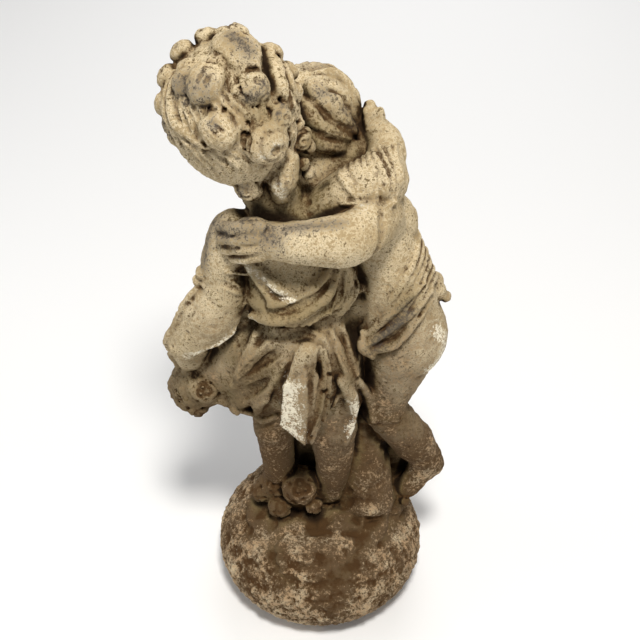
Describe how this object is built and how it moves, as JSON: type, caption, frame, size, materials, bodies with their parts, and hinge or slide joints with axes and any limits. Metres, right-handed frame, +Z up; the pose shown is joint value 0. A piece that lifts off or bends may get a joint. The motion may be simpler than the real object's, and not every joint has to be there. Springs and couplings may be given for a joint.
{
  "type": "garden sculpture",
  "caption": "Two small cherubs embracing on a round rocky mound, cast in one piece, that stands as a garden ornament.",
  "frame": {"origin": "middle of the mound's flat underside", "axes": "+Z up, -Y towards the side where the girl's back and the boy's embracing arm show, +X towards the boy"},
  "size_m": [0.254, 0.1997, 0.5915],
  "materials": {
    "concrete": "rough weathered cast concrete with open pores, lichen and dirt"
  },
  "bodies": {
    "root": {"cherub_sculpture": "concrete"}
  },
  "joints": []
}
